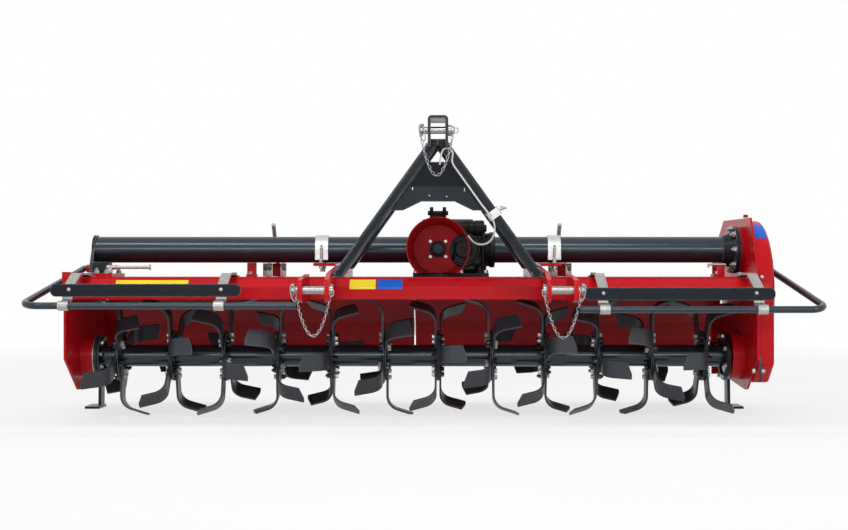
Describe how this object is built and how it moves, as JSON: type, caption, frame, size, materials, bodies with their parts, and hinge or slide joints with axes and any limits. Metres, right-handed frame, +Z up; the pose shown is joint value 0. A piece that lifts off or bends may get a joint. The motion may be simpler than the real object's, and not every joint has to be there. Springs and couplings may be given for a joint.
{
  "type": "rotary tiller",
  "caption": "Tractor-mounted rotary tiller: bladed rotor under a red hood, A-frame hitch mast, gearbox with top tube, side drive case, hinged rear boards.",
  "frame": {"origin": "on the ground, below the centre of the machine's bounding box", "axes": "+X across the machine towards the drive case, +Y to the rear, +Z up; the tractor is at -Y"},
  "size_m": [2.837, 1.1109, 1.109],
  "materials": {
    "red_paint": "gloss",
    "anthracite_paint": "satin",
    "black_casting": "satin black paint",
    "zinc_plate": "galvanised",
    "bright_steel": "machined",
    "cream_coating": "cream coating"
  },
  "bodies": {
    "chassis": {"clamp_studs": "zinc_plate", "deflector_left": "anthracite_paint", "deflector_right": "anthracite_paint", "drive_boss": "red_paint", "drive_case": "red_paint", "end_foot": "red_paint", "front_beam": "red_paint", "gearbox": "black_casting", "gearbox_base": "black_casting", "gearbox_lug": "black_casting", "guard_bar_left": "anthracite_paint", "guard_bar_right": "anthracite_paint", "guard_boss": "red_paint", "guard_clamps": "zinc_plate", "guard_straps": "zinc_plate", "hinge_brackets": "red_paint", "hitch_bracket_left": "red_paint", "hitch_bracket_right": "red_paint", "holder_clamp": "zinc_plate", "hood": "red_paint", "hood_stiffener": "red_paint", "input_guard": "red_paint", "leg_pins": "zinc_plate", "lower_pin_left": "zinc_plate", "lower_pin_right": "zinc_plate", "mast_arm_left": "anthracite_paint", "mast_arm_right": "anthracite_paint", "mast_stay_left": "anthracite_paint", "mast_stay_right": "anthracite_paint", "mast_web": "anthracite_paint", "rod_brackets": "zinc_plate", "rotor_bearing_left": "red_paint", "rotor_bearing_right": "red_paint", "shaft_holder": "cream_coating", "side_plate_left": "red_paint", "side_plate_right": "red_paint", "stay_brackets": "zinc_plate", "top_link_bracket": "anthracite_paint", "top_pin": "zinc_plate", "top_tube_left": "anthracite_paint", "top_tube_right": "anthracite_paint", "tube_clamps": "zinc_plate", "tube_end_plate": "anthracite_paint", "tube_flange": "black_casting", "tube_supports": "red_paint"},
    "rotor": {"rotor_tube": "anthracite_paint", "blade_flanges": "anthracite_paint", "blades_left_hand": "anthracite_paint", "blades_right_hand": "anthracite_paint"},
    "input": {"input_shaft": "bright_steel"},
    "board_left": {"rear_board_left": "red_paint"},
    "board_right": {"rear_board_right": "red_paint"},
    "rod_left": {"adjusting_rod_left": "zinc_plate"},
    "rod_right": {"adjusting_rod_right": "zinc_plate"},
    "leg_left": {"parking_leg_left": "anthracite_paint"},
    "leg_right": {"parking_leg_right": "anthracite_paint"}
  },
  "joints": [
    {"name": "rotor_spin", "type": "hinge", "parent": "chassis", "child": "rotor", "pos_m": [0.049, 0.03525, 0.23321], "axis": [1, 0, 0], "continuous": true},
    {"name": "input_spin", "type": "hinge", "parent": "chassis", "child": "input", "pos_m": [0.049, -0.11475, 0.647], "axis": [0, -1, 0], "continuous": true},
    {"name": "board_left_hinge", "type": "hinge", "parent": "chassis", "child": "board_left", "pos_m": [-0.651, 0.33525, 0.458], "axis": [1, 0, 0], "range_deg": [0, 35]},
    {"name": "board_right_hinge", "type": "hinge", "parent": "chassis", "child": "board_right", "pos_m": [0.599, 0.33525, 0.458], "axis": [1, 0, 0], "range_deg": [0, 35]},
    {"name": "rod_left_pivot", "type": "hinge", "parent": "board_left", "child": "rod_left", "pos_m": [-0.603, 0.46525, 0.396], "axis": [1, 0, 0], "range_deg": [-22, 0.5]},
    {"name": "rod_right_pivot", "type": "hinge", "parent": "board_right", "child": "rod_right", "pos_m": [0.531, 0.46525, 0.396], "axis": [1, 0, 0], "range_deg": [-22, 0.5]},
    {"name": "leg_left_swing", "type": "hinge", "parent": "chassis", "child": "leg_left", "pos_m": [-1.339, 0.36525, 0.3], "axis": [1, 0, 0], "range_deg": [0, 90]},
    {"name": "leg_right_swing", "type": "hinge", "parent": "chassis", "child": "leg_right", "pos_m": [1.243, 0.36525, 0.3], "axis": [1, 0, 0], "range_deg": [0, 90]}
  ],
  "couplings": [
    {"joint": "input_spin", "follows": "rotor_spin", "ratio": 2.35},
    {"joint": "rod_left_pivot", "follows": "board_left_hinge", "ratio": -0.615},
    {"joint": "rod_right_pivot", "follows": "board_right_hinge", "ratio": -0.615}
  ]
}
